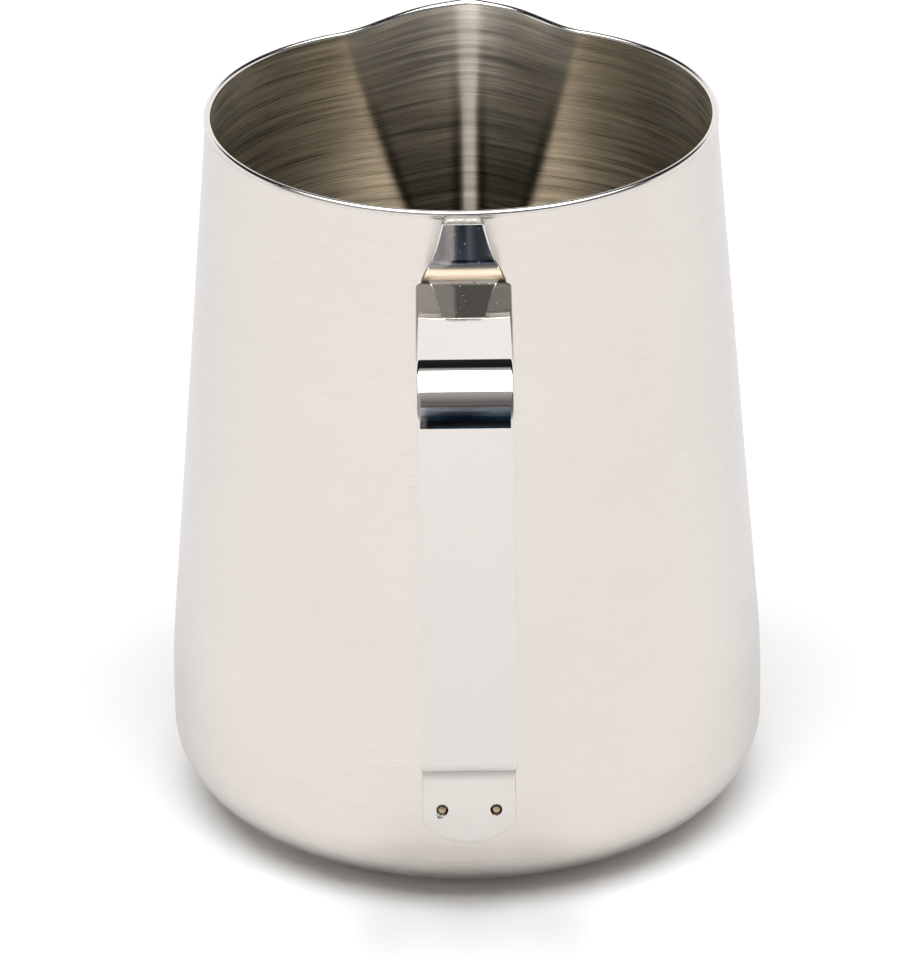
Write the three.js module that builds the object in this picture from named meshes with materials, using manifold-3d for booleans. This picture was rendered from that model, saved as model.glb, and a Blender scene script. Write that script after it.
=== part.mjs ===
// Milk frothing pitcher of about 600 ml: a deep-drawn steel shell that narrows towards its rim,
// with a pressed pouring spout, and a bent strap handle welded to the wall opposite the spout.
// Millimetres, +Z up. The origin is the centre of the base's underside, on the shell's axis.
// The spout points along +Y and the handle stands out along -Y.
import * as THREE from "three";
import { mergeVertices } from "three/addons/utils/BufferGeometryUtils.js";
import Module from "manifold-3d";

const wasm = await Module();
wasm.setup();

// Shell: overall sizes and the side profile, all on its outer face.
const height = 112.6;
const rimRadius = 38.5;
const bellyRadius = 45.7;
const wallThickness = 0.85;
const coneFoot = 28.9; // height where the straight cone starts to curve down into the belly
const bellyTop = 17.7; // height where the belly is upright
const cornerRise = 12.7; // the base corner is a quarter of an ellipse
const cornerRun = 15.6;
const lipRadius = 0.45; // the rim's edge is rounded to this
const lipFlare = 0.35; // how far the lip stands out of the cone
const lipNeck = 1.5; // height over which the cone runs out into the lip

// Spout: how the wall is pulled out of round, as shares of the rim radius and in degrees.
const spoutDrop = 71; // how far down the wall the spout reaches
const spoutReach = 0.152;
const spoutPinch = 0.046; // the wall beside the spout is drawn in by this
const spoutHalfAngle = 30;
const pinchEndAngle = 68;
const spoutTaper = 1.3; // power with which the spout narrows on its way down
const spoutFade = 1.6; // power with which its depth fades
const foldSharpness = 0.12; // rounding of the fold at the bottom of the spout's channel

// Handle: a flat strap, sized on its outer, visible face.
const strapWidth = 14;
const strapThickness = 1.6;
const gap = 0.3; // clearance between pieces
const plateHeight = 103.9; // upper face of the level stretch under the rim
const gripReach = 78.7; // distance of the grip's outer face from the shell's axis
const gripBendRadius = 7.7;
const topTabBendRadius = 2.3;
const lowTabBendRadius = 3.8;
const legSlope = 24; // degrees that the lower leg falls towards the shell
const gripFoot = 41.2; // height where the grip and the leg would meet with no bend
const topTabEnd = 111.4;
const topTabHalfWidth = 2.9;
const neckHalfWidth = 6.25; // the strap is this wide through the upper bend
const neckFlare = 1.2; // how much wider than its top the upper tab is where its sides curve most
const neckFlareRise = 2; // height of that place above the plate
const shoulderRun = 3.2; // the level stretch is at full width from this far off the upper tab
const lowTabEnd = 13.1;
const lowTabEndRadius = 9.2;

// Welds: one bead over the upper tab's end, two spots through the lower tab.
const beadWidth = 5.4;
const beadHeight = 0.5;
const beadDepth = 1.1;
const spotRadius = 0.8;
const spotSpacing = 8.1;
const spotHeight = 18.6;

const rad = THREE.MathUtils.degToRad;

// Radius of the shell's outer face, without lip or spout, at a height above the base corner.
function outerRadius(z) {
  const bend = coneFoot - bellyTop;
  const curve = (bellyRadius - rimRadius) / (2 * bend * (height - coneFoot) + bend * bend);
  if (z >= coneFoot) return rimRadius + 2 * curve * bend * (height - z);
  if (z >= bellyTop) return bellyRadius - curve * (z - bellyTop) ** 2;
  if (z >= cornerRise) return bellyRadius;
  const sunk = 1 - Math.max(z, 0) / cornerRise;
  return bellyRadius - cornerRun + cornerRun * Math.sqrt(1 - sunk * sunk);
}

// The base corner from the flat base up to the upright belly, offset inwards by the wall.
function cornerPoints(inset, steps) {
  const points = [];
  for (let i = 0; i <= steps; i++) {
    const turn = (i / steps) * (Math.PI / 2);
    points.push(
      new THREE.Vector2(
        bellyRadius - cornerRun + (cornerRun - inset) * Math.sin(turn),
        cornerRise - (cornerRise - inset) * Math.cos(turn),
      ),
    );
  }
  return points;
}

// Heights of the rings between two levels, closer together towards the rim.
function ringHeights(from, to, count) {
  const heights = [];
  for (let i = 1; i <= count; i++) {
    const share = i / count;
    heights.push(from + (to - from) * (1 - (1 - share) ** 1.35));
  }
  return heights;
}

// Closed half-section of the shell, from the axis under the base round to the axis inside it.
function shellSection() {
  const points = [new THREE.Vector2(0, 0), ...cornerPoints(0, 8)];
  const neck = height - lipNeck;
  const outer = [...ringHeights(cornerRise, coneFoot, 3), ...ringHeights(coneFoot, neck, 9)];
  for (const z of outer) points.push(new THREE.Vector2(outerRadius(z), z));
  const lipCentre = rimRadius + lipFlare - lipRadius;
  const lipSteps = 6;
  for (let i = 0; i <= lipSteps; i++) {
    const turn = (i / lipSteps) * Math.PI;
    points.push(
      new THREE.Vector2(
        lipCentre + lipRadius * Math.cos(turn),
        height - lipRadius + lipRadius * Math.sin(turn),
      ),
    );
  }
  const inner = outer.slice().reverse();
  for (const z of inner) points.push(new THREE.Vector2(outerRadius(z) - wallThickness, z));
  points.push(...cornerPoints(wallThickness, 6).reverse());
  points.push(new THREE.Vector2(0, wallThickness));
  return points;
}

// Bearings of the section's copies: 0 is the spout, and they crowd together round it.
function ringBearings() {
  const half = [];
  for (let a = 0; a < 36; a += 3) half.push(a);
  for (let a = 36; a < 180; a += 6) half.push(a);
  const mirrored = half.slice(1).reverse();
  return [...half, 180, ...mirrored.map((a) => 360 - a), 360].map(rad);
}

// How far the spout moves the wall outwards at a bearing and a height, in millimetres.
function spoutPull(bearing, z) {
  const depth = (height - z) / spoutDrop;
  if (depth >= 1) return 0;
  const fromSpout = THREE.MathUtils.radToDeg(Math.abs(Math.atan2(Math.sin(bearing), Math.cos(bearing))));
  const left = 1 - Math.max(depth, 0);
  const fold = spoutHalfAngle * left ** spoutTaper;
  const end = pinchEndAngle * left ** spoutTaper;
  const reach = rimRadius * spoutReach * left ** spoutFade;
  const pinch = rimRadius * spoutPinch * left ** spoutFade;
  if (fromSpout >= end) return 0;
  if (fromSpout >= fold) return -pinch * (1 - (fromSpout - fold) / (end - fold)) ** spoutFade;
  const share = fromSpout / fold;
  const round = 0.5 + 0.5 * Math.cos(Math.PI * share);
  const sharp =
    1 - (Math.hypot(share, foldSharpness) - foldSharpness) / (Math.hypot(1, foldSharpness) - foldSharpness);
  const mix = Math.min(1, depth * 1.5);
  return -pinch + (reach + pinch) * (round * (1 - mix) + sharp * mix);
}

// Turns the lathe's even copies of the section to the chosen bearings, and pulls out the spout.
function shapeShell(geometry, sectionCount, bearings) {
  const position = geometry.getAttribute("position");
  for (let i = 0; i < position.count; i++) {
    const column = Math.floor(i / sectionCount);
    const bearing = bearings[column];
    const z = position.getY(i);
    const radius = Math.hypot(position.getX(i), position.getZ(i));
    const pulled = radius > bellyRadius / 2 ? radius + spoutPull(bearing, z) : radius;
    position.setXYZ(i, -pulled * Math.sin(bearing), pulled * Math.cos(bearing), z);
  }
}

// A closed geometry as a manifold-3d solid.
function toSolid(geometry) {
  const bare = geometry.clone();
  bare.deleteAttribute("normal");
  bare.deleteAttribute("uv");
  const merged = mergeVertices(bare, 1e-4);
  return new wasm.Manifold(
    new wasm.Mesh({
      numProp: 3,
      vertProperties: new Float32Array(merged.getAttribute("position").array),
      triVerts: new Uint32Array(merged.index.array),
    }),
  );
}

// A manifold-3d solid as a geometry with flat-shaded faces.
function toGeometry(solid) {
  const mesh = solid.getMesh();
  const geometry = new THREE.BufferGeometry();
  geometry.setAttribute("position", new THREE.BufferAttribute(new Float32Array(mesh.vertProperties), 3));
  geometry.setIndex(new THREE.BufferAttribute(new Uint32Array(mesh.triVerts), 1));
  const flat = geometry.toNonIndexed();
  flat.computeVertexNormals();
  return flat;
}

// The shell: base, wall, lip and spout, drawn from one sheet.
function makeBodyShell() {
  const section = shellSection();
  const bearings = ringBearings();
  const geometry = new THREE.LatheGeometry(section, bearings.length - 1);
  shapeShell(geometry, section.length, bearings);
  geometry.computeVertexNormals();
  return geometry;
}

// Everything that the handle's pieces keep clear of: the shell's outside, grown by the gap.
function makeShellClearance() {
  const section = [new THREE.Vector2(0, -1)];
  const steps = 40;
  for (let i = 0; i <= steps; i++) {
    const z = (i / steps) * (height - lipNeck);
    section.push(new THREE.Vector2(outerRadius(z) + gap, z));
  }
  section.push(new THREE.Vector2(rimRadius + lipFlare + gap, height - lipNeck / 2));
  section.push(new THREE.Vector2(rimRadius + lipFlare + gap, height + 1));
  section.push(new THREE.Vector2(0, height + 1));
  const geometry = new THREE.LatheGeometry(section, 120);
  geometry.rotateX(Math.PI / 2);
  return toSolid(geometry);
}

// A polyline of [reach, height] corners with a round bend of its own radius at each inner corner,
// returned as points with the unit normal on its left.
function bentLine(corners, radii, arcSteps) {
  const line = [];
  const directions = [];
  for (let i = 0; i + 1 < corners.length; i++) {
    directions.push(new THREE.Vector2().subVectors(corners[i + 1], corners[i]).normalize());
  }
  const leftOf = (direction) => new THREE.Vector2(-direction.y, direction.x);
  line.push({ point: corners[0], normal: leftOf(directions[0]) });
  for (let i = 1; i + 1 < corners.length; i++) {
    const before = directions[i - 1];
    const after = directions[i];
    const turn = Math.atan2(before.cross(after), before.dot(after));
    const side = Math.sign(turn);
    const radius = radii[i - 1];
    const tangent = radius * Math.tan(Math.abs(turn) / 2);
    const start = corners[i].clone().addScaledVector(before, -tangent);
    const centre = start.clone().addScaledVector(leftOf(before), side * radius);
    for (let k = 0; k <= arcSteps; k++) {
      const angle = (turn * k) / arcSteps;
      const normal = leftOf(before).rotateAround(new THREE.Vector2(), angle);
      line.push({ point: centre.clone().addScaledVector(normal, -side * radius), normal });
    }
  }
  const last = corners.length - 1;
  line.push({ point: corners[last], normal: leftOf(directions[last - 1]) });
  return line;
}

// The strap's side view: its outer face from the lower tab to the upper one, and back inside.
function strapSideView() {
  const standOff = gap + strapThickness;
  const fall = Math.tan(rad(legSlope));
  const lowFace = outerRadius(lowTabEnd) + standOff;
  const topFace = outerRadius(plateHeight) + standOff;
  const corners = [
    new THREE.Vector2(lowFace, lowTabEnd),
    new THREE.Vector2(lowFace, gripFoot - fall * (gripReach - lowFace)),
    new THREE.Vector2(gripReach, gripFoot),
    new THREE.Vector2(gripReach, plateHeight),
    new THREE.Vector2(topFace, plateHeight),
    new THREE.Vector2(outerRadius(topTabEnd) + standOff, topTabEnd),
  ];
  const radii = [lowTabBendRadius, gripBendRadius, gripBendRadius, topTabBendRadius];
  const outerFace = bentLine(corners, radii, 8);
  const inside = outerFace.map(({ point, normal }) => point.clone().addScaledVector(normal, strapThickness));
  return new THREE.Shape([...outerFace.map(({ point }) => point), ...inside.reverse()]);
}

// A side view in [reach, height] extruded across the strap and turned to stand out along -Y.
function acrossStrap(shape, width) {
  const geometry = new THREE.ExtrudeGeometry(shape, { depth: width, bevelEnabled: false });
  geometry.translate(0, 0, -width / 2);
  geometry.applyMatrix4(
    new THREE.Matrix4().makeBasis(
      new THREE.Vector3(0, -1, 0),
      new THREE.Vector3(0, 0, 1),
      new THREE.Vector3(-1, 0, 0),
    ),
  );
  return toSolid(geometry);
}

// The strap's front view: tapered upper tab, full width between, rounded lower end.
function strapFrontView() {
  const half = strapWidth / 2;
  const roundRise = lowTabEndRadius - Math.sqrt(lowTabEndRadius ** 2 - half ** 2);
  const arc = Math.asin(half / lowTabEndRadius);
  const sideBow = topTabHalfWidth + neckFlare;
  const sideBowHeight = plateHeight + neckFlareRise;
  const shape = new THREE.Shape();
  shape.moveTo(half, lowTabEnd + roundRise);
  shape.lineTo(half, plateHeight);
  shape.lineTo(neckHalfWidth, plateHeight);
  shape.quadraticCurveTo(sideBow, sideBowHeight, topTabHalfWidth, topTabEnd + 1);
  shape.lineTo(-topTabHalfWidth, topTabEnd + 1);
  shape.quadraticCurveTo(-sideBow, sideBowHeight, -neckHalfWidth, plateHeight);
  shape.lineTo(-half, plateHeight);
  shape.lineTo(-half, lowTabEnd + roundRise);
  shape.absarc(0, lowTabEnd + lowTabEndRadius, lowTabEndRadius, -Math.PI / 2 - arc, -Math.PI / 2 + arc);
  const depth = gripReach + 2;
  const geometry = new THREE.ExtrudeGeometry(shape, { depth, bevelEnabled: false, curveSegments: 10 });
  geometry.rotateX(Math.PI / 2);
  return toSolid(geometry);
}

// Blocks that narrow the strap to its neck through the upper bend, one on each side.
function neckCutters() {
  const neckEnd = outerRadius(plateHeight) + gap + strapThickness + shoulderRun;
  return [-1, 1].map((side) => {
    const block = new THREE.BoxGeometry(6, neckEnd, 8);
    block.translate(side * (neckHalfWidth + 3), -neckEnd / 2, plateHeight);
    return toSolid(block);
  });
}

// A round rod along Y through the lower tab, on one side of its middle.
function spotRod(side, radius, from, to) {
  const geometry = new THREE.CylinderGeometry(radius, radius, to - from, 20);
  geometry.translate((side * spotSpacing) / 2, -(from + to) / 2, spotHeight);
  return geometry;
}

// The handle: one strap bent twice for the grip, with a tab at each end that lies on the wall.
function makeHandleStrap(shellClearance) {
  let solid = acrossStrap(strapSideView(), strapWidth).intersect(strapFrontView());
  for (const cutter of neckCutters()) solid = solid.subtract(cutter);
  const face = bellyRadius + gap + strapThickness;
  for (const side of [-1, 1]) {
    solid = solid.subtract(toSolid(spotRod(side, spotRadius + gap, bellyRadius - 2, face + 2)));
  }
  return toGeometry(solid.subtract(shellClearance));
}

// The bead that closes the upper tab's end against the wall, under the lip.
function makeUpperWeld(shellClearance) {
  const wall = outerRadius(topTabEnd);
  const depth = beadDepth + 1;
  const block = new THREE.BoxGeometry(beadWidth, depth, beadHeight);
  block.translate(0, -(wall + gap + beadDepth - depth / 2), topTabEnd + gap + beadHeight / 2);
  return toGeometry(toSolid(block).subtract(shellClearance));
}

// A spot of fused steel that pins the lower tab to the wall.
function makeSpotWeld(side) {
  const wall = bellyRadius + gap;
  return spotRod(side, spotRadius, wall, wall + strapThickness);
}

function addPiece(group, name, geometry, material) {
  const mesh = new THREE.Mesh(geometry, material);
  mesh.name = name;
  group.add(mesh);
}

const shellSteel = new THREE.MeshStandardMaterial({ color: 0xd8d4cf, roughness: 0.38, metalness: 1 });
const strapSteel = new THREE.MeshStandardMaterial({ color: 0xe2e0de, roughness: 0.08, metalness: 1 });
const weldSteel = new THREE.MeshStandardMaterial({ color: 0x9c8f80, roughness: 0.5, metalness: 1 });

const pitcher = new THREE.Group();
const shellClearance = makeShellClearance();
addPiece(pitcher, "body_shell", makeBodyShell(), shellSteel);
addPiece(pitcher, "handle_strap", makeHandleStrap(shellClearance), strapSteel);
addPiece(pitcher, "upper_weld", makeUpperWeld(shellClearance), weldSteel);
addPiece(pitcher, "lower_weld_left", makeSpotWeld(-1), weldSteel.clone());
addPiece(pitcher, "lower_weld_right", makeSpotWeld(1), weldSteel.clone());

export default pitcher;
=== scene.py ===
import math
import bpy
import numpy as np
from mathutils import Matrix, Vector


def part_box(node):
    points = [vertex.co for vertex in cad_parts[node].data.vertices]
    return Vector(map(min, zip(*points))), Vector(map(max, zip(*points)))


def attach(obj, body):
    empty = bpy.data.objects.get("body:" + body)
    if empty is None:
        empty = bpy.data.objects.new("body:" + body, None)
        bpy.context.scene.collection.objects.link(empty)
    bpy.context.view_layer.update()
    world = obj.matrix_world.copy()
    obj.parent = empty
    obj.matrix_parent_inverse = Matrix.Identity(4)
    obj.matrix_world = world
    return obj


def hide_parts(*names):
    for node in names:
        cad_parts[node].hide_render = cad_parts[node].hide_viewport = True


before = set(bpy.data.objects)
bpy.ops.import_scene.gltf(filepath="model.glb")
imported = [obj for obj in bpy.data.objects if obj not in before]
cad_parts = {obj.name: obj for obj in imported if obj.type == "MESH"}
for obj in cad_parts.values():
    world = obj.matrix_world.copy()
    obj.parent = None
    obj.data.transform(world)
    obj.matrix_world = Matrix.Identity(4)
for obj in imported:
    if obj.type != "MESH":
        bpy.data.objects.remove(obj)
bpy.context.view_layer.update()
mm = 0.001

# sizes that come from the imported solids, in millimetres
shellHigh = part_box("body_shell")[1]
strapLow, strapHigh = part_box("handle_strap")
spotLow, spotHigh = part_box("lower_weld_right")
beadLow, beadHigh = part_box("upper_weld")
rimHeight = shellHigh.z / mm
bellyRadius = shellHigh.x / mm
gripReach = -strapLow.y / mm
strapHalf = (strapHigh.x - strapLow.x) / 2 / mm
topTabEnd = strapHigh.z / mm
lowTabEnd = strapLow.z / mm
spotSide = (spotLow.x + spotHigh.x) / 2 / mm
spotHeight = (spotLow.z + spotHigh.z) / 2 / mm


# the shell is one drawn sheet; sizes here are millimetres and degrees

shell = {
    "rimRadius": 38.5,
    "wall": 0.85,
    "coneFoot": 28.9,  # the straight cone ends here
    "bellyTop": 17.7,  # the wall is upright below this
    "cornerRise": 12.7,
    "cornerRun": 15.6,
    "lipRadius": 0.6,
    "lipFlare": 0.35,
    "lipNeck": 1.5,  # the wall starts to lean out this far below the rim
    "sideRows": 84,
    "neckRows": 7,
    "cornerRows": 22,
    "lipRows": 16,
    "baseRows": 14,
    "spoutColumns": 0.45,  # step between columns near the spout, in degrees
    "spoutColumnsEnd": 36,
    "farColumns": 120,
}
spout = {
    "drop": 71.0,
    "reach": 0.152,  # shares of the rim radius
    "pinch": 0.046,
    "halfAngle": 30.0,
    "pinchEnd": 68.0,
    "taper": 1.3,
    "fade": 1.6,
    "sharpness": 0.075,
    "foldStart": 4.0,  # how soon below the rim the round nose turns into a fold
    "foldAside": 1.8,  # the fold sits a little to one side of the spout's even shoulders
    "asideReach": 24.0,  # bearing over which that turn dies away
    "tipFlare": 0.8,  # extra lean at the very tip
    "tipHalfWidth": 2.4,
    "tipDrop": 5.0,
    "channelHalfWidth": 1.25,
}
# painted highlight and painted shade inside the spout: widths in millimetres, starts and rises as shares
# of the spout's drop
spoutLightAndShade = {
    "channelFlare": 0.5,  # the channel is this share wider at the rim
    "channelFlareRate": 4,
    "flankBlur": 0.5,
    "creaseWidth": 0.9,
    "channelCrease": 0.75,  # strength of the painted shade in the crease beside the channel
    "channelCreaseOff": 0.8,
    "channelCreaseWidth": 0.8,
    "endFadeRate": 5,
    "brightFlank": 0.42,  # the flanks are rubbed too near the rim, and get a painted highlight there
    "brightFlankEnd": 0.26,
    "flankStart": 0.22,
    "flankRise": 0.18,
    "creaseStart": 0.07,
    "creaseRise": 0.28,
}


def outerRadius(z):
    bend = shell["coneFoot"] - shell["bellyTop"]
    rise = bellyRadius - shell["rimRadius"]
    curve = rise / (2 * bend * (rimHeight - shell["coneFoot"]) + bend * bend)
    if z >= shell["coneFoot"]:
        return shell["rimRadius"] + 2 * curve * bend * (rimHeight - z)
    if z >= shell["bellyTop"]:
        return bellyRadius - curve * (z - shell["bellyTop"]) ** 2
    return bellyRadius


def awayFromFold(bearings):
    # degrees from the fold, for bearings in radians from the spout
    around = np.degrees(np.arctan2(np.sin(bearings), np.cos(bearings)))
    return np.abs(around - spout["foldAside"] * np.exp(-((around / spout["asideReach"]) ** 2)))


def spoutPull(bearing, z):
    # how far the spout moves the wall outwards; bearing is an array of radians from the spout
    depth = (rimHeight - z) / spout["drop"]
    if depth >= 1:
        return np.zeros_like(bearing)
    left = 1 - max(depth, 0)
    fold = spout["halfAngle"] * left ** spout["taper"]
    end = spout["pinchEnd"] * left ** spout["taper"]
    reach = shell["rimRadius"] * spout["reach"] * left ** spout["fade"]
    pinch = shell["rimRadius"] * spout["pinch"] * left ** spout["fade"]
    away = awayFromFold(bearing)
    share = np.clip(away / fold, 0, 1)
    soft = spout["sharpness"]
    roundFold = 0.5 + 0.5 * np.cos(np.pi * share)
    sharpFold = 1 - (np.hypot(share, soft) - soft) / (math.hypot(1, soft) - soft)
    mix = min(1, depth * spout["foldStart"])
    inFold = -pinch + (reach + pinch) * (roundFold * (1 - mix) + sharpFold * mix)
    beyond = np.clip(1 - (away - fold) / (end - fold), 0, 1)
    pull = np.where(away < fold, inFold, -pinch * beyond ** spout["fade"])
    aside = shell["rimRadius"] * np.radians(away)
    lean = max(1 - (rimHeight - z) / spout["tipDrop"], 0) ** 2
    return pull + spout["tipFlare"] * lean * np.exp(-((aside / spout["tipHalfWidth"]) ** 2))


def foldLightAndShade(bearings, z):
    # painted highlight where the inside is rubbed (red), and painted shade on the flanks (green) and in
    # the creases (blue)
    depth = (rimHeight - z) / spout["drop"]
    if depth >= 1:
        return np.zeros((len(bearings), 3))
    left = 1 - max(depth, 0)
    fold = spout["halfAngle"] * left ** spout["taper"]
    away = awayFromFold(bearings)
    perDegree = shell["rimRadius"] * math.pi / 180
    aside = away * perDegree
    flare = spoutLightAndShade["channelFlare"] * max(1 - depth * spoutLightAndShade["channelFlareRate"], 0)
    half = spout["channelHalfWidth"] * (1 + flare)
    channel = np.exp(-((aside / half) ** 4))
    beyond = aside - fold * perDegree
    flank = np.clip(1 / (1 + np.exp(beyond / spoutLightAndShade["flankBlur"])) - channel, 0, 1)
    crease = np.exp(-((beyond / spoutLightAndShade["creaseWidth"]) ** 2))
    offChannel = (aside - half - spoutLightAndShade["channelCreaseOff"]) / spoutLightAndShade["channelCreaseWidth"]
    crease += spoutLightAndShade["channelCrease"] * np.exp(-(offChannel**2))
    fadeOut = min(left * spoutLightAndShade["endFadeRate"], 1)
    nearRim = max(1 - depth / spoutLightAndShade["brightFlankEnd"], 0)
    rubbedHighlight = channel * fadeOut + flank * spoutLightAndShade["brightFlank"] * nearRim
    deepFlank = min(max((depth - spoutLightAndShade["flankStart"]) / spoutLightAndShade["flankRise"], 0), 1)
    deepCrease = min(max((depth - spoutLightAndShade["creaseStart"]) / spoutLightAndShade["creaseRise"], 0), 1) * fadeOut
    return np.stack([rubbedHighlight, flank * deepFlank, crease * deepCrease], 1)


def shellBearings():
    # columns of the mesh, close together at the spout
    near = np.arange(0, shell["spoutColumnsEnd"], shell["spoutColumns"])
    far = np.linspace(shell["spoutColumnsEnd"], 180, shell["farColumns"])
    half = np.concatenate([near, far])
    return np.radians(np.concatenate([half, 360 - half[1:-1][::-1]]))


def shellRing(bearings, z, radius, offset):
    # a ring of the wall: radius before the spout, and an offset along the wall's own plan normal
    pull = spoutPull(bearings, z)
    x = (radius + pull) * np.sin(bearings)
    y = (radius + pull) * np.cos(bearings)
    dx = np.roll(x, -1) - np.roll(x, 1)
    dy = np.roll(y, -1) - np.roll(y, 1)
    length = np.hypot(dx, dy)
    return np.stack([x - offset * dy / length, y + offset * dx / length, np.full_like(x, z)], 1)


def cornerRing(bearings, turn, inset):
    run, rise = shell["cornerRun"], shell["cornerRise"]
    radius = bellyRadius - run + (run - inset) * math.sin(turn)
    z = rise - (rise - inset) * math.cos(turn)
    return np.stack([radius * np.sin(bearings), radius * np.cos(bearings), np.full_like(bearings, z)], 1)


def flatRing(bearings, radius, z):
    return np.stack([radius * np.sin(bearings), radius * np.cos(bearings), np.full_like(bearings, z)], 1)


def meshFromRings(name, rings, zones, poles):
    # quads between rings, with a flat fan to a single point at each end
    count = len(rings[0])
    verts = np.concatenate([*rings, np.array(poles)])
    faces, marks = [], []
    for i in range(len(rings) - 1):
        a, b = i * count, (i + 1) * count
        for j in range(count):
            k = (j + 1) % count
            faces.append((a + j, b + j, b + k, a + k))
            marks.append(zones[i])
    last = (len(rings) - 1) * count
    first, final = len(verts) - 2, len(verts) - 1
    for j in range(count):
        k = (j + 1) % count
        faces.append((first, j, k))
        marks.append(zones[0])
        faces.append((final, last + k, last + j))
        marks.append(zones[-1])
    mesh = bpy.data.meshes.new(name)
    mesh.from_pydata((verts * mm).tolist(), [], faces)
    mesh.polygons.foreach_set("material_index", marks)
    mesh.polygons.foreach_set("use_smooth", [True] * (len(faces) - 2 * count) + [False] * 2 * count)
    mesh.update()
    piece = bpy.data.objects.new(name, mesh)
    bpy.context.scene.collection.objects.link(piece)
    return piece


def makeShell(outside, lip, inside):
    bearings = shellBearings()
    rings, zones = [], []
    flat = bellyRadius - shell["cornerRun"]
    for radius in np.linspace(flat / shell["baseRows"], flat, shell["baseRows"], endpoint=False):
        rings.append(flatRing(bearings, radius, 0.0))
        zones.append(0)
    for turn in np.linspace(0, math.pi / 2, shell["cornerRows"]):
        rings.append(cornerRing(bearings, turn, 0.0))
        zones.append(0)
    neck = rimHeight - shell["lipNeck"]
    heights = [*np.linspace(shell["cornerRise"], neck, shell["sideRows"])[1:]]
    for z in heights:
        rings.append(shellRing(bearings, z, outerRadius(z), 0.0))
        zones.append(0)
    lipFoot = rimHeight - shell["lipRadius"]
    for z in np.linspace(neck, lipFoot, shell["neckRows"])[1:-1]:
        # the wall curves out into the lip
        share = (z - neck) / (lipFoot - neck)
        rings.append(shellRing(bearings, z, outerRadius(z), shell["lipFlare"] * share**3))
        zones.append(0)
    # the lip is rounded over from its flared outer side to the straight inner one
    across = (shell["lipFlare"] + shell["wall"]) / 2
    middle = shell["lipFlare"] - across
    for turn in np.linspace(0, math.pi, shell["lipRows"]):
        z = rimHeight - shell["lipRadius"] * (1 - math.sin(turn))
        rings.append(shellRing(bearings, z, shell["rimRadius"], middle + across * math.cos(turn)))
        zones.append(1)
    zones[-1] = 2
    for z in heights[::-1]:
        rings.append(shellRing(bearings, z, outerRadius(z), -shell["wall"]))
        zones.append(2)
    for turn in np.linspace(math.pi / 2, 0, shell["cornerRows"]):
        rings.append(cornerRing(bearings, turn, shell["wall"]))
        zones.append(2)
    for radius in np.linspace(flat, flat / shell["baseRows"], shell["baseRows"])[1:]:
        rings.append(flatRing(bearings, radius, shell["wall"]))
        zones.append(2)
    piece = meshFromRings("drawnShell", rings, zones, [(0, 0, 0), (0, 0, shell["wall"])])
    firstInside = zones.index(2)
    marks = np.zeros((len(piece.data.vertices), 4))
    for i, ring in enumerate(rings):
        if i >= firstInside and ring[0][2] > shell["cornerRise"]:
            marks[i * len(bearings) : (i + 1) * len(bearings), :3] = foldLightAndShade(bearings, ring[0][2])
    marks[:, 3] = 1
    painted = piece.data.attributes.new("foldLightAndShade", "FLOAT_COLOR", "POINT")
    painted.data.foreach_set("color", marks.ravel())
    for finish in (outside, lip, inside):
        piece.data.materials.append(finish)
    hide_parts("body_shell")
    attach(piece, "root")


# the handle is one flat bar, sized on its outer face

strap = {
    "thickness": 1.6,
    "gap": 0.3,
    "plateHeight": 103.9,
    "gripBend": 7.7,
    "topBend": 2.3,
    "lowBend": 3.8,
    "legSlope": 24.0,
    "gripFoot": 41.2,
    "edgeRadius": 0.5,
    "thinEdgeRadius": 0.24,  # on the upper tab and round the lower one's end
    "topHalf": 2.9,
    "neckHalf": 6.25,
    "neckFlare": 1.2,  # extra half width where the upper tab's sides curve most
    "neckFlareRise": 2.0,
    "shoulderRun": 3.2,  # full width from this far off the upper tab
    "shoulderRadius": 0.7,
    "endRadius": 9.2,
    "topBow": 0.33,  # how much of the wall's curve the upper tab takes up
    "lowBow": 0.9,
    "lowBowTop": 15.0,  # way along the bar where the lower tab's curve ends
    "lowBowFade": 6,
    "topBowRise": 3,  # the upper tab's curve comes in over this way
    "markedEnd": 14,  # the pits and marks are within this far of the lower end
    "fineRow": 0.12,  # length of a row at the tabs, and elsewhere
    "coarseRow": 1.5,
    "fineReach": 50,  # rows nearer the axis than this are fine at the tabs
    "fineHeight": 32,  # and the lower tab's are below this
    "bendStep": 1.5,  # degrees between rows in a bend
}

# welds: a bead over the upper tab and a spot on each side of the lower one

weld = {
    "pitRadius": 0.78,
    "pitDepth": 1.1,
    "pitBlur": 0.035,
    "moundHeight": 0.03,  # metal pushed up round the pit
    "moundOff": 0.3,
    "moundWidth": 0.25,
    "slugRadius": 0.6,
    "slugSunk": 0.35,
    "domeRise": 0.35,
    "outOfRound": 0.02,
    "sides": 40,
    "lump": 0.04,
    "beadRise": 0.75,
    "beadColumns": 90,
    "beadRows": 12,
    "beadOver": 0.12,  # how far the bead passes the upper tab's sides
    # arcs beside the spots: side and height off the spots' line, radius, groove, and the way the arc faces
    "marks": [
        {"x": -4.35, "above": -0.75, "radius": 0.42, "width": 0.13, "depth": 0.3, "toX": -1, "toZ": -1},
        {"x": -3.1, "above": 0.1, "radius": 1.35, "width": 0.12, "depth": 0.035, "toX": 0.6, "toZ": 0.8},
        {"x": 3.9, "above": 0.1, "radius": 1.4, "width": 0.12, "depth": 0.035, "toX": -0.6, "toZ": 0.8},
    ],
}


def leftOf(direction):
    return Vector((-direction.y, direction.x))


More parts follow.
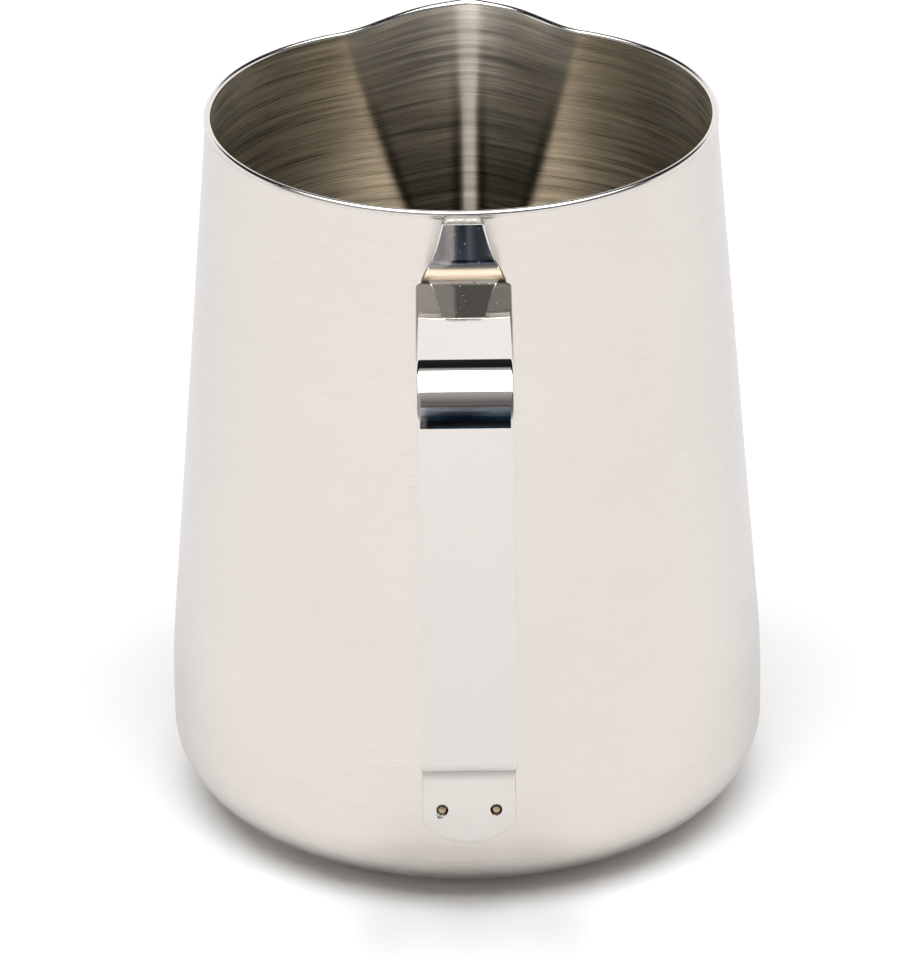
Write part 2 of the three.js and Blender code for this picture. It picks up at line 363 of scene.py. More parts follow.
def bentLine(corners, radii):
    # points (reach, height) along the bar's outer face, each with its inward normal
    ways = [(b - a).normalized() for a, b in zip(corners, corners[1:])]
    line = [(corners[0], leftOf(ways[0]))]
    for i, radius in enumerate(radii, start=1):
        before, after = ways[i - 1], ways[i]
        turn = math.atan2(before.x * after.y - before.y * after.x, before.dot(after))
        side = math.copysign(1, turn)
        start = corners[i] - before * radius * math.tan(abs(turn) / 2)
        centre = start + leftOf(before) * side * radius
        steps = max(8, round(math.degrees(abs(turn)) / strap["bendStep"]))
        for k in range(steps + 1):
            normal = leftOf(before)
            normal.rotate(Matrix.Rotation(turn * k / steps, 2))
            line.append((centre - normal * side * radius, normal))
    line.append((corners[-1], leftOf(ways[-1])))
    return line


def strapLine():
    standOff = strap["gap"] + strap["thickness"]
    fall = math.tan(math.radians(strap["legSlope"]))
    lowFace = bellyRadius + standOff
    plate = strap["plateHeight"]
    corners = [
        Vector((lowFace, lowTabEnd)),
        Vector((lowFace, strap["gripFoot"] - fall * (gripReach - lowFace))),
        Vector((gripReach, strap["gripFoot"])),
        Vector((gripReach, plate)),
        Vector((outerRadius(plate) + standOff, plate)),
        Vector((outerRadius(topTabEnd) + standOff, topTabEnd)),
    ]
    radii = [strap["lowBend"], strap["gripBend"], strap["gripBend"], strap["topBend"]]
    return bentLine(corners, radii)


def refineLine(line):
    # adds rows to the straight stretches: fine at both tabs, coarse along the grip
    rows = []
    reach, top = strap["fineReach"], strap["plateHeight"] - 0.1
    for (a, na), (b, nb) in zip(line, line[1:]):
        length = (b - a).length
        nearTabs = a.x < reach and (a.y < strap["fineHeight"] or a.y > top)
        nearTabs = nearTabs or b.x < reach and b.y > top
        steps = max(1, math.ceil(length / (strap["fineRow"] if nearTabs else strap["coarseRow"])))
        for k in range(steps):
            share = k / steps
            rows.append((a.lerp(b, share), na.lerp(nb, share).normalized()))
    rows.append(line[-1])
    return rows


def neckOutline():
    # heights and half widths down the upper tab, a smooth curve from its neck to its top
    t = np.linspace(0, 1, 60)
    start = (strap["neckHalf"], strap["plateHeight"])
    middle = (strap["topHalf"] + strap["neckFlare"], strap["plateHeight"] + strap["neckFlareRise"])
    end = (strap["topHalf"], topTabEnd + 1)
    half, height = (
        (1 - t) ** 2 * a + 2 * t * (1 - t) * b + t**2 * c for a, b, c in zip(start, middle, end)
    )
    return height, half


def strapHalfWidth(fromEnd, beforeShoulder, height):
    # fromEnd: way along the bar from its lower end; beforeShoulder: way left to the shoulder
    if fromEnd < strap["endRadius"]:
        down = strap["endRadius"] - fromEnd
        inArc = math.sqrt(max(strap["endRadius"] ** 2 - down**2, 0))
        if inArc < strapHalf:
            return inArc
    radius = strap["shoulderRadius"]
    if beforeShoulder >= radius:
        return strapHalf
    if beforeShoulder >= 0:
        into = radius - beforeShoulder
        return max(strapHalf - radius + math.sqrt(radius**2 - into**2), strap["neckHalf"])
    return float(np.interp(height, *neckOutline()))


def acrossShares():
    # shares of the half width at which the bar's faces have columns, 0 to 1 and mirrored
    edge = 1 - np.array([0, 0.003, 0.008, 0.016, 0.027, 0.04, 0.056, 0.075, 0.1, 0.14, 0.2])
    spot = spotSide / strapHalf + np.linspace(-0.24, 0.24, 49)
    inner = np.linspace(0, spot[0], 10)
    half = np.unique(np.concatenate([edge, spot[spot < edge.min()], inner]).round(5))
    return np.concatenate([-half[1:][::-1], half])


def edgeDrop(inside, radius):
    # how far the face falls away at a distance from the bar's outline
    reach = np.clip(inside, 0, radius)
    return radius - np.sqrt(radius**2 - (radius - reach) ** 2)


def spotPit(x, height):
    # depth of the pit round each spot weld, with its low mound, and of the marks the electrodes left
    depth = np.zeros_like(x)
    for side in (-1, 1):
        away = np.hypot(x - side * spotSide, height - spotHeight)
        wall = 1 / (1 + np.exp((away - weld["pitRadius"]) / weld["pitBlur"]))
        offMound = (away - weld["pitRadius"] - weld["moundOff"]) / weld["moundWidth"]
        mound = weld["moundHeight"] * np.exp(-(offMound**2))
        depth += weld["pitDepth"] * wall - mound
    for mark in weld["marks"]:
        aside, above = x - mark["x"], height - (spotHeight + mark["above"])
        away = np.hypot(aside, above)
        groove = np.exp(-(((away - mark["radius"]) / mark["width"]) ** 2))
        facing = (aside * mark["toX"] + above * mark["toZ"]) / np.maximum(away, 1e-6)
        depth += mark["depth"] * groove * np.clip(facing * 2 + 1.2, 0, 1)
    return depth


def makeStrap(finish):
    rows = refineLine(strapLine())
    along = [0.0]
    for (a, _), (b, _) in zip(rows, rows[1:]):
        along.append(along[-1] + (b - a).length)
    plate, thick = strap["plateHeight"], strap["thickness"]
    shoulder = outerRadius(plate) + strap["gap"] + thick + strap["shoulderRun"]
    shoulderAt = next(s for s, (p, _) in zip(along, rows) if p.x <= shoulder and p.y > plate - 0.01)
    shares = acrossShares()
    edgeChange = strap["thinEdgeRadius"] - strap["edgeRadius"]
    rings = []
    for s, (point, normal) in zip(along, rows):
        half = max(strapHalfWidth(s, shoulderAt - s, point.y), 0.02)
        x = shares * half
        inside = half - np.abs(x)
        if s < strap["endRadius"]:
            inside = np.minimum(inside, strap["endRadius"] - np.hypot(x, strap["endRadius"] - s))
        onTop = min(max((s - shoulderAt - 2) / strap["topBowRise"], 0), 1)
        thin = max(onTop, min(max((strap["endRadius"] - s) / 2, 0), 1))
        drop = edgeDrop(inside, strap["edgeRadius"] + edgeChange * thin)
        # the lower tab follows the wall's curve and the upper one a little of it, less through their bends
        low = min(max((strap["lowBowTop"] - s) / strap["lowBowFade"], 0), 1) * strap["lowBow"]
        top = onTop * strap["topBow"]
        curve = outerRadius(point.y) + strap["gap"] + thick
        bow = (low + top) * (curve - np.sqrt(curve**2 - x**2))
        front = drop + (spotPit(x, point.y) if s < strap["markedEnd"] else 0)
        back = thick - drop
        depth = np.concatenate([front, back[::-1]])
        xs = np.concatenate([x, x[::-1]])
        bows = np.concatenate([bow, bow[::-1]])
        reach = point.x + normal.x * depth - bows
        height = point.y + normal.y * depth
        rings.append(np.stack([xs, -reach, height], 1))
    first = rings[0].mean(0)
    last = rings[-1].mean(0)
    piece = meshFromRings("handleBar", rings, [0] * len(rings), [first, last])
    piece.data.materials.append(finish)
    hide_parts("handle_strap")
    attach(piece, "root")


def makeSpot(name, node, side, finish):
    # a slug that fills the hole in the lower tab, with a slightly sunk, domed head
    low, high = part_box(node)
    base, tip = -high.y / mm, -low.y / mm
    bearings = np.linspace(0, 2 * np.pi, weld["sides"], endpoint=False)
    rings = []
    slug = weld["slugRadius"]
    steps = [(slug, base), (slug, tip - 0.5), (slug * 0.97, tip - 0.3)]
    for turn in np.linspace(0.3, 1.35, 7):
        dome = weld["domeRise"] * math.sin(turn) * 0.9
        steps.append((slug * math.cos(turn), tip - weld["slugSunk"] + dome))
    for radius, reach in steps:
        wobble = 1 + weld["outOfRound"] * np.sin(3 * bearings + side)
        x = side * spotSide + radius * wobble * np.cos(bearings)
        z = spotHeight + radius * wobble * np.sin(bearings)
        rings.append(np.stack([x, np.full_like(x, -reach), z], 1))
    ends = [base, steps[-1][1] + 0.01]
    poles = [(side * spotSide, -reach, spotHeight) for reach in ends]
    piece = meshFromRings(name, rings, [0] * len(rings), poles)
    piece.data.materials.append(finish)
    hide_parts(node)
    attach(piece, "root")


def makeBead(finish):
    # the fillet between the upper tab's end and the lip, ground smooth
    half = (beadHigh.x - beadLow.x) / 2 / mm + weld["beadOver"]
    foot, top = topTabEnd - 0.03, topTabEnd + weld["beadRise"]
    inner = -beadHigh.y / mm
    outer = outerRadius(topTabEnd) + strap["gap"] + strap["thickness"] - 0.01
    rings = []
    turns = np.linspace(0, np.pi / 2, weld["beadRows"])
    for x in np.linspace(-half, half, weld["beadColumns"]):
        end = math.sqrt(max(1 - (abs(x) / half) ** 8, 0.0004))
        lump = weld["lump"] * (math.sin(x * 7.3) * math.cos(x * 3.1 + 1) - 1)
        front, rise = outer + lump, (top - foot) * end
        reach = [inner, front, *(inner + (front - inner) * np.cos(turns) ** 0.6)]
        height = [foot, foot, *(foot + 0.02 + rise * np.sin(turns) ** 0.8)]
        rings.append(np.array([(x, -r, h) for r, h in zip(reach, height)]))
    poles = [rings[0].mean(0), rings[-1].mean(0)]
    piece = meshFromRings("upperBead", rings, [0] * len(rings), poles)
    piece.data.materials.append(finish)
    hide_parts("upper_weld")
    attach(piece, "root")


# finishes

outsideLook = {
    "color": (0.645, 0.605, 0.565),
    "edge": (0.82, 0.83, 0.86),
    "roughness": 0.26,
    "roughRange": (0.93, 1.07),
    "tones": (0.97, 1.03),
    "anisotropy": 0.6,
    "lineScale": (26, 26, 5200),  # noise scales along x, y and z, per metre
    "cloudScale": (18, 18, 60),
    "lineBump": 0.02,
}
insideLook = {
    "color": (0.72, 0.665, 0.57),
    "roughness": 0.30,
    "roughRange": (0.75, 1.25),
    "tones": (0.5, 1.38),
    "anisotropy": 0.85,
    "lineScale": (60, 60, 4600),
    "bandScale": (28, 28, 900),
    "lineBump": 0.35,
    "creaseShade": 0.85,  # how much darker the painted shade in the creases beside the spout is
    # painted shade on the spout's flanks, coming in deeper down
    "flankShade": 0.64,
    # colour of the painted highlight down the spout's fold
    "channelHighlightColor": (0.97, 0.90, 0.79),
    "channelHighlightTones": (0.6, 1.0),
    "channelRoughness": 0.55,
}
lipLook = {
    "color": (0.60, 0.58, 0.55),
    "roughness": 0.13,
    "roughRange": (0.8, 1.3),
    "tones": (0.95, 1.0),
    "grainScale": (900, 900, 900),
}
strapLook = {
    "color": (0.615, 0.585, 0.555),
    "roughness": 0.03,
    "roughRange": (0.6, 2.0),
    "tones": (0.96, 1.0),
    "bendShadeColor": (0.25, 0.205, 0.155),
    "bendRoughness": 0.33,
    "bendBelow": 2,  # how far below and above the plate the bend's finish and painted shade reach, in millimetres
    "bendAbove": 0.85,
    "footShadeColor": (0.045, 0.036, 0.03),
    "footShadeLine": 1.2,  # width of the painted shade line at the inner bend's foot, in millimetres
    "cornerColor": (0.0, 0.0, 0.0),
    "cornerShade": 0.8,  # how dark the shaded corner above the lower tab gets
    "cornerLow": 23.6,  # heights in millimetres between which that shade comes in
    "cornerHigh": 26.4,
    "scratchScale": (2600, 160, 260),
    "smearScale": (120, 120, 90),
    "speckRoughness": 0.45,
    "speckScale": (1500, 1500, 1500),
    "clumpScale": (260, 260, 260),
    "speckReach": 11,  # how far the specks run out over the plate, in millimetres
}
weldLook = {"color": (0.45, 0.33, 0.22), "roughness": 0.38, "roughRange": (0.7, 1.4), "grit": 0.4}
beadLook = {"color": (0.43, 0.41, 0.385), "roughness": 0.6, "roughRange": (0.7, 1.4), "grit": 0.08}


class NodeMaker:
    # short calls for shader nodes
    def __init__(self, name):
        self.material = bpy.data.materials.new(name)
        self.material.use_nodes = True
        self.nodes = self.material.node_tree.nodes
        self.links = self.material.node_tree.links
        self.shader = self.nodes["Principled BSDF"]
        self.shader.inputs["Metallic"].default_value = 1.0

    def add(self, kind, **values):
        node = self.nodes.new(kind)
        for key, value in values.items():
            setattr(node, key, value)
        return node

    def link(self, a, b):
        self.links.new(a, b)

    def place(self):
        # position on the object, in metres
        return self.add("ShaderNodeTexCoord").outputs["Object"]

    def stretched(self, place, scale):
        mapping = self.add("ShaderNodeMapping")
        mapping.inputs["Scale"].default_value = scale
        self.link(place, mapping.inputs["Vector"])
        return mapping.outputs["Vector"]

    def grain(self, place, scale, detail=3.0, roughness=0.6):
        noise = self.add("ShaderNodeTexNoise")
        noise.inputs["Scale"].default_value = 1.0
        noise.inputs["Detail"].default_value = detail
        noise.inputs["Roughness"].default_value = roughness
        self.link(self.stretched(place, scale), noise.inputs["Vector"])
        return noise.outputs["Fac"]

    def spread(self, value, low, high, fromLow=0.0, fromHigh=1.0):
        node = self.add("ShaderNodeMapRange")
        node.inputs["From Min"].default_value = fromLow
        node.inputs["From Max"].default_value = fromHigh
        node.inputs["To Min"].default_value = low
        node.inputs["To Max"].default_value = high
        self.link(value, node.inputs["Value"])
        return node.outputs["Result"]

    def blend(self, amount, dark, light):
        node = self.add("ShaderNodeMix", data_type="RGBA")
        node.inputs["A"].default_value = (*dark, 1)
        node.inputs["B"].default_value = (*light, 1)
        self.link(amount, node.inputs["Factor"])
        return node.outputs["Result"]

    def mixed(self, amount, start, end):
        # from a linked value or colour to a fixed or linked one
        node = self.add("ShaderNodeMix", data_type="FLOAT" if isinstance(end, float) else "RGBA")
        self.link(amount, node.inputs["Factor"])
        a, b = [socket for socket in node.inputs if socket.enabled and socket.name in "AB"]
        if isinstance(end, float):
            b.default_value = end
        elif isinstance(end, tuple):
            b.default_value = (*end, 1)
        else:
            self.link(end, b)
        self.link(start, a)
        return next(socket for socket in node.outputs if socket.enabled)

    def grainyRough(self, grain, look, low=0.3, high=0.7):
        # roughness that follows the grain, between two shares of the finish's own
        least, most = look["roughRange"]
        return self.spread(grain, look["roughness"] * least, look["roughness"] * most, low, high)

    def bump(self, value, strength, distance):
        node = self.add("ShaderNodeBump")
        node.inputs["Strength"].default_value = strength
        node.inputs["Distance"].default_value = distance
        self.link(value, node.inputs["Height"])
        self.link(node.outputs["Normal"], self.shader.inputs["Normal"])

    def times(self, *values):
        product = values[0]
        for value in values[1:]:
            node = self.add("ShaderNodeMath", operation="MULTIPLY")
            self.link(product, node.inputs[0])
            self.link(value, node.inputs[1])
            product = node.outputs["Value"]
        return product

    def between(self, value, low, high, blur):
        # 1 between two positions in millimetres, falling to 0 over the blur beyond each
        up = self.spread(value, 0, 1, (low - blur) * mm, low * mm)
        down = self.spread(value, 1, 0, high * mm, (high + blur) * mm)
        return self.times(up, down)

    def brushedRound(self, amount):
        # the sheet is brushed round the axis, so it scatters light up and down
        tangent = self.add("ShaderNodeTangent", direction_type="RADIAL", axis="Z")
        self.link(tangent.outputs["Tangent"], self.shader.inputs["Tangent"])
        self.shader.inputs["Anisotropic"].default_value = amount
        self.shader.inputs["Anisotropic Rotation"].default_value = 0.25


def shades(color, factors):
    # a darker and a lighter shade of one colour
    return [tuple(min(c * factor, 1) for c in color) for factor in factors]


def makeOutsideFinish():
    make = NodeMaker("satinOutside")
    place = make.place()
    lines = make.grain(place, outsideLook["lineScale"], detail=2.0)
    cloud = make.grain(place, outsideLook["cloudScale"], detail=3.0)
    make.link(
        make.blend(cloud, *shades(outsideLook["color"], outsideLook["tones"])),
        make.shader.inputs["Base Color"],
    )
    make.shader.inputs["Specular Tint"].default_value = (*outsideLook["edge"], 1)
    make.link(make.grainyRough(lines, outsideLook), make.shader.inputs["Roughness"])
    make.bump(lines, outsideLook["lineBump"], 0.03 * mm)
    make.brushedRound(outsideLook["anisotropy"])
    return make.material


def makeInsideFinish():
    make = NodeMaker("brushedInside")
    place = make.place()
    lines = make.grain(place, insideLook["lineScale"], detail=5.0, roughness=0.75)
    bands = make.grain(place, insideLook["bandScale"], detail=3.0)
    mix = make.add("ShaderNodeMath", operation="ADD")
    make.link(lines, mix.inputs[0])
    make.link(bands, mix.inputs[1])
    tone = make.spread(mix.outputs["Value"], 0.0, 1.0, 0.72, 1.28)
    steel = make.blend(tone, *shades(insideLook["color"], insideLook["tones"]))
    # painted shade on the flanks and in the creases, and a painted highlight down the spout's fold, which
    # is also rougher
    marks = make.add("ShaderNodeAttribute", attribute_name="foldLightAndShade")
    parts = make.add("ShaderNodeSeparateColor")
    make.link(marks.outputs["Color"], parts.inputs["Color"])
    flank = make.spread(parts.outputs["Green"], 1, 1 - insideLook["flankShade"])
    crease = make.spread(parts.outputs["Blue"], 1, 1 - insideLook["creaseShade"])
    shaded = make.add("ShaderNodeHueSaturation")
    make.link(steel, shaded.inputs["Color"])
    make.link(make.times(flank, crease), shaded.inputs["Value"])
    rubbedHighlightSteel = make.blend(tone, *shades(insideLook["channelHighlightColor"], insideLook["channelHighlightTones"]))
    color = make.mixed(parts.outputs["Red"], shaded.outputs["Color"], rubbedHighlightSteel)
    make.link(color, make.shader.inputs["Base Color"])
    brushed = make.grainyRough(lines, insideLook)
    rubbedHighlight = make.mixed(parts.outputs["Red"], brushed, insideLook["channelRoughness"])
    make.link(rubbedHighlight, make.shader.inputs["Roughness"])
    make.bump(lines, insideLook["lineBump"], 0.06 * mm)
    make.brushedRound(insideLook["anisotropy"])
    return make.material


def makeLipFinish():
    make = NodeMaker("polishedLip")
    place = make.place()
    grain = make.grain(place, lipLook["grainScale"], detail=2.0)
    make.link(
        make.blend(grain, *shades(lipLook["color"], lipLook["tones"])),
        make.shader.inputs["Base Color"],
    )
    make.link(make.grainyRough(grain, lipLook), make.shader.inputs["Roughness"])
    return make.material


def makeStrapFinish():
    make = NodeMaker("mirrorBar")
    place = make.place()
    scratches = make.grain(place, strapLook["scratchScale"], detail=3.0)
    smear = make.grain(place, strapLook["smearScale"], detail=3.0)
    steel = make.blend(smear, *shades(strapLook["color"], strapLook["tones"]))
    # the tight inner bend under the rim is out of the buffing wheel's reach, so rougher and not quite a
    # mirror; its dark warm colour is painted shade that dims its reflections
    parts = make.add("ShaderNodeSeparateXYZ")
    make.link(place, parts.inputs["Vector"])
    across, away, height = parts.outputs
    plate = strap["plateHeight"]
    bendEnd = -outerRadius(plate) - strap["gap"] - strap["thickness"] - strap["topBend"]
    atBend = make.between(height, plate - strapLook["bendBelow"], plate + strapLook["bendAbove"], 0.2)
    inBend = make.times(atBend, make.between(away, bendEnd - 0.1, 0, 0.25))
    # painted shade along the bend's foot, and painted shade in the corner over the lower tab
    onPlate = make.between(height, plate - 0.2, plate + 0.3, 0.1)
    footShadeLine = make.between(away, bendEnd - strapLook["footShadeLine"], bendEnd - 0.15, 0.2)
    shadeAtFoot = make.times(onPlate, footShadeLine)
    low, high = strapLook["cornerLow"] * mm, strapLook["cornerHigh"] * mm
    inCorner = make.spread(height, 0, strapLook["cornerShade"], low, high)
    onLowTab = make.between(away, -bellyRadius - 6, 0, 2)
    inCorner = make.times(inCorner, onLowTab, make.between(height, 0, 30, 1))
    # painted shade: the bend's dark colour, the line at its foot and the corner over the lower tab
    color = make.mixed(inBend, steel, strapLook["bendShadeColor"])
    color = make.mixed(shadeAtFoot, color, strapLook["footShadeColor"])
    color = make.mixed(inCorner, color, strapLook["cornerColor"])
    make.link(color, make.shader.inputs["Base Color"])
    # fine specks that catch the light on the upper faces
    dust = make.grain(place, strapLook["speckScale"], detail=1.0)
    clumps = make.grain(place, strapLook["clumpScale"], detail=1.0)
    speck = make.times(make.spread(dust, 0, 1, 0.685, 0.70), make.spread(clumps, 0, 1, 0.5, 0.56))
    above = make.between(height, plate - 0.5, 200, 0.2)
    speck = make.times(speck, above, make.between(away, bendEnd - strapLook["speckReach"], 0, 1))
    polished = make.grainyRough(scratches, strapLook, 0.45, 0.75)
    polished = make.mixed(speck, polished, strapLook["speckRoughness"])
    make.link(make.mixed(inBend, polished, strapLook["bendRoughness"]), make.shader.inputs["Roughness"])
    make.bump(scratches, 0.02, 0.02 * mm)
    return make.material


def makeWeldFinish(name, look):
    make = NodeMaker(name)
    place = make.place()
    grain = make.grain(place, (1500, 1500, 1500), detail=3.0)
    make.link(
        make.blend(grain, *shades(look["color"], (1 - look["grit"], 1 + look["grit"]))),
        make.shader.inputs["Base Color"],
    )
    make.link(make.grainyRough(grain, look), make.shader.inputs["Roughness"])
    make.bump(grain, look["grit"], 0.1 * mm)
    return make.material


# pale floor, soft light from above, cards and a dim room for the mirror finish to show

studio = {
    "floorSize": 12.0,
    "floorColor": (0.93, 0.93, 0.93),
    "farGlow": 0.8,  # keeps the floor pale out to where the light no longer reaches
    # the steel shows the wide soft box, and the other only lights the floor, so the shadow falls close in
    "lights": {
        "softBox": {"height": 1.15, "forward": 0.17, "width": 1.7, "depth": 1.03, "power": 25.0},
        "floorBox": {"height": 1.15, "forward": 0.36, "width": 1.4, "depth": 0.85, "power": 29.5},
    },
    "cards": {
        # metres: sides, distance before the jug, and height
        "darkCard": {"left": -0.0068, "right": 0.026, "away": 0.34, "top": 0.25},
        "greyCard": {"left": -0.036, "right": -0.0068, "away": 0.342, "top": 0.23},
    },
}
# card colours from the floor up: (height in metres, colour)
cardColors = {
    "darkCard": [
        (0.0, (0.11, 0.05, 0.035)),
        (0.004, (0.012, 0.028, 0.050)),
        (0.026, (0.014, 0.032, 0.058)),
        (0.036, (0.018, 0.012, 0.009)),
        (0.065, (0.010, 0.009, 0.010)),
        (0.085, (0.005, 0.014, 0.032)),
        (0.125, (0.010, 0.028, 0.055)),
        (0.155, (0.12, 0.15, 0.20)),
        (0.200, (0.20, 0.24, 0.31)),
        (0.232, (0.16, 0.18, 0.22)),
        (0.238, (0.13, 0.055, 0.045)),
    ],
    "greyCard": [(0.0, (0.34, 0.33, 0.37)), (0.1, (0.38, 0.37, 0.41)), (0.23, (0.46, 0.47, 0.50))],
}
# the room by elevation in degrees: (elevation, brightness) behind the jug, and before it on each side
room = {
    "behind": [(0, 1.35), (27, 1.35), (28.5, 0.03), (58, 0.015), (63, 0.6), (90, 0.6)],
    "frontLeft": [(0, 0.9), (10, 0.5), (27, 0.5), (50, 0.55), (60, 0.7), (90, 0.6)],
    "frontRight": [(0, 0.8), (10, 0.3), (25, 0.2), (38, 0.2), (52, 0.5), (58, 0.6), (90, 0.6)],
    "onFloor": 0.24,
    "splitAt": -0.018,  # sideways direction where left turns to right
}
camera = {
    "focal": 268.5,
    "sensor": 36.0,
    "distance": 1.1165,
    "elevation": 25.594,
    "aimHeight": 0.04995,
    "aimSide": -0.00188,
    "roll": -0.679,
}


def floorGlow(tree):
    # makes up for the light's fall with distance: nothing near the jug, farGlow far off
    height = studio["lights"]["softBox"]["height"]
    place = tree.nodes.new("ShaderNodeTexCoord")
    away = tree.nodes.new("ShaderNodeVectorMath")
    away.operation = "DISTANCE"
    away.inputs[1].default_value = (0, -studio["lights"]["floorBox"]["forward"], 0)
    tree.links.new(place.outputs["Object"], away.inputs[0])
    fall = tree.nodes.new("ShaderNodeValToRGB")
    points = fall.color_ramp.elements
    reaches = [0.25, 0.5, 0.8, 1.2, 1.8, 3.0]
    while len(points) < len(reaches):
        points.new(0.5)
    for point, reach in zip(points, reaches):
        lost = 1 - (height**2 / (height**2 + (reach - reaches[0]) ** 2)) ** 2
        point.position = reach / reaches[-1]
        point.color = (*[lost * studio["farGlow"]] * 3, 1)
    share = tree.nodes.new("ShaderNodeMath")
    share.operation = "DIVIDE"
    share.inputs[1].default_value = reaches[-1]
    tree.links.new(away.outputs["Value"], share.inputs[0])
    tree.links.new(share.outputs["Value"], fall.inputs["Fac"])
    return fall.outputs["Color"]


def makeFloor():
    half = studio["floorSize"] / 2
    mesh = bpy.data.meshes.new("floor")
    corners = [(-half, -half, 0), (half, -half, 0), (half, half, 0), (-half, half, 0)]
    mesh.from_pydata(corners, [], [(0, 1, 2, 3)])
    floor = bpy.data.objects.new("floor", mesh)
    bpy.context.scene.collection.objects.link(floor)
    material = bpy.data.materials.new("paleFloor")
    material.use_nodes = True
    shader = material.node_tree.nodes["Principled BSDF"]
    shader.inputs["Base Color"].default_value = (*studio["floorColor"], 1)
    shader.inputs["Roughness"].default_value = 0.9
    shader.inputs["Specular IOR Level"].default_value = 0.0
    glow = floorGlow(material.node_tree)
    shader.inputs["Emission Color"].default_value = (1, 1, 1, 1)
    material.node_tree.links.new(glow, shader.inputs["Emission Strength"])
    mesh.materials.append(material)
    floor.location.z = -0.1 * mm


def makeCard(name, card):
    low, high = card["left"], card["right"]
    corners = [(low, -card["away"], 0), (high, -card["away"], 0), (high, -card["away"], card["top"])]
    corners.append((low, -card["away"], card["top"]))
    mesh = bpy.data.meshes.new(name)
    mesh.from_pydata(corners, [], [(0, 1, 2, 3)])
    panel = bpy.data.objects.new(name, mesh)
    bpy.context.scene.collection.objects.link(panel)
    make = NodeMaker(name + "Cloth")
    shader = make.shader
    shader.inputs["Metallic"].default_value = 0.0
    place = make.place()
    parts = make.add("ShaderNodeSeparateXYZ")
    make.link(place, parts.inputs["Vector"])
    ramp = make.add("ShaderNodeValToRGB")
    points = ramp.color_ramp.elements
    while len(points) < len(cardColors[name]):
        points.new(0.5)
    for point, (height, color) in zip(points, cardColors[name]):
        point.position = height / card["top"]
        point.color = (*color, 1)
    make.link(make.spread(parts.outputs["Z"], 0, 1, 0, card["top"]), ramp.inputs["Fac"])
    folds = make.grain(place, (75, 1, 9), detail=2.0)
    cloth = make.add("ShaderNodeHueSaturation")
    make.link(ramp.outputs["Color"], cloth.inputs["Color"])
    make.link(make.spread(folds, 0.35, 2.0, 0.35, 0.65), cloth.inputs["Value"])
    make.link(cloth.outputs["Color"], shader.inputs["Base Color"])
    shader.inputs["Roughness"].default_value = 0.9
    shader.inputs["Specular IOR Level"].default_value = 0.0
    mesh.materials.append(make.material)
    panel.visible_camera = False
    panel.visible_diffuse = False
    panel.visible_shadow = False


def makeLight(name, box):
    data = bpy.data.lights.new(name, "AREA")
    data.shape = "RECTANGLE"
    data.size, data.size_y = box["width"], box["depth"]
    data.energy = box["power"]
    lamp = bpy.data.objects.new(name, data)
    lamp.location = (0, -box["forward"], box["height"])
    # the steel sees only the soft box, and the floor only its own
    lamp.visible_diffuse = name == "floorBox"
    lamp.visible_glossy = name == "softBox"
    bpy.context.scene.collection.objects.link(lamp)


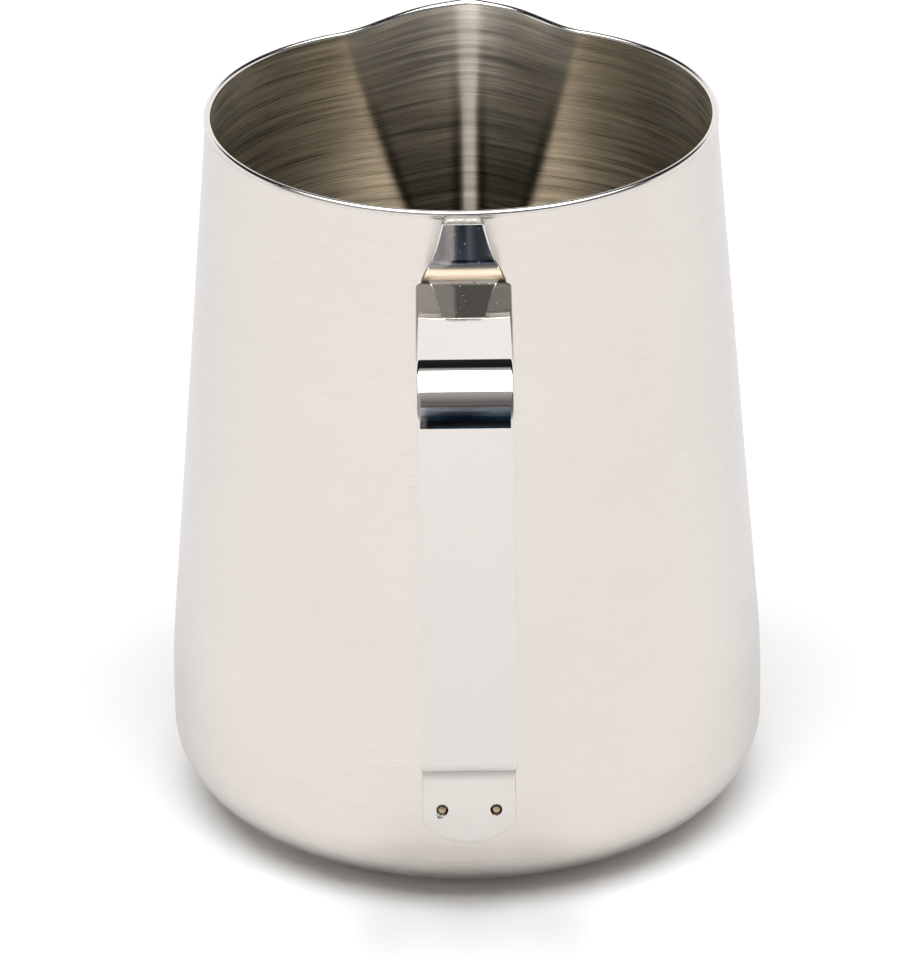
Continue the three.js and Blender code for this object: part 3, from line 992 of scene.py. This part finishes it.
def makeWorld():
    world = bpy.data.worlds.new("studioRoom")
    bpy.context.scene.world = world
    world.use_nodes = True
    nodes, links = world.node_tree.nodes, world.node_tree.links
    way = nodes.new("ShaderNodeTexCoord")
    parts = nodes.new("ShaderNodeSeparateXYZ")
    links.new(way.outputs["Generated"], parts.inputs["Vector"])

    def bands(stops):
        ramp = nodes.new("ShaderNodeValToRGB")
        points = ramp.color_ramp.elements
        while len(points) < len(stops):
            points.new(0.5)
        for point, (angle, level) in zip(points, stops):
            point.position = math.sin(math.radians(angle))
            point.color = (level, level, level, 1)
        links.new(parts.outputs["Z"], ramp.inputs["Fac"])
        return ramp.outputs["Color"]

    def step(value, low, high):
        node = nodes.new("ShaderNodeMapRange")
        node.inputs["From Min"].default_value = low
        node.inputs["From Max"].default_value = high
        links.new(value, node.inputs["Value"])
        return node.outputs["Result"]

    def mix(amount, a, b):
        node = nodes.new("ShaderNodeMix")
        node.data_type = "RGBA"
        links.new(amount, node.inputs["Factor"])
        links.new(a, node.inputs["A"])
        links.new(b, node.inputs["B"])
        return node.outputs["Result"]

    split = room["splitAt"]
    front = mix(
        step(parts.outputs["X"], split - 0.001, split + 0.001),
        bands(room["frontLeft"]),
        bands(room["frontRight"]),
    )
    whole = mix(step(parts.outputs["Y"], -0.05, 0.05), front, bands(room["behind"]))
    links.new(whole, nodes["Background"].inputs["Color"])
    # the floor is lit mostly by its own box; the room is there for the steel to show
    ray = nodes.new("ShaderNodeLightPath")
    level = nodes.new("ShaderNodeMapRange")
    level.inputs["To Min"].default_value = 1.0
    level.inputs["To Max"].default_value = room["onFloor"]
    links.new(ray.outputs["Is Diffuse Ray"], level.inputs["Value"])
    links.new(level.outputs["Result"], nodes["Background"].inputs["Strength"])


def makeCamera():
    data = bpy.data.cameras.new("studioCamera")
    data.sensor_width = camera["sensor"]
    data.lens = camera["focal"]
    data.clip_start, data.clip_end = 0.05, 50
    lens = bpy.data.objects.new("studioCamera", data)
    tilt, roll = math.radians(camera["elevation"]), math.radians(camera["roll"])
    forward = Vector((0, math.cos(tilt), -math.sin(tilt)))
    level = Vector((1, 0, 0))
    upright = level.cross(forward)
    right = level * math.cos(roll) + upright * math.sin(roll)
    up = upright * math.cos(roll) - level * math.sin(roll)
    place = Vector((camera["aimSide"], 0, camera["aimHeight"])) - forward * camera["distance"]
    lens.matrix_world = Matrix(
        (
            (right.x, up.x, -forward.x, place.x),
            (right.y, up.y, -forward.y, place.y),
            (right.z, up.z, -forward.z, place.z),
            (0, 0, 0, 1),
        )
    )
    bpy.context.scene.collection.objects.link(lens)
    bpy.context.scene.camera = lens


makeCamera()
makeFloor()
for cardName, cardSizes in studio["cards"].items():
    makeCard(cardName, cardSizes)
for lightName, lightSizes in studio["lights"].items():
    makeLight(lightName, lightSizes)
makeWorld()
bpy.context.scene.view_settings.view_transform = "Standard"
print("studio ready")

makeShell(makeOutsideFinish(), makeLipFinish(), makeInsideFinish())
print("shell ready")
makeStrap(makeStrapFinish())
weldFinish = makeWeldFinish("tintedWeld", weldLook)
makeSpot("leftSpot", "lower_weld_left", -1, weldFinish)
makeSpot("rightSpot", "lower_weld_right", 1, weldFinish)
makeBead(makeWeldFinish("groundWeld", beadLook))
print("handle and welds ready")
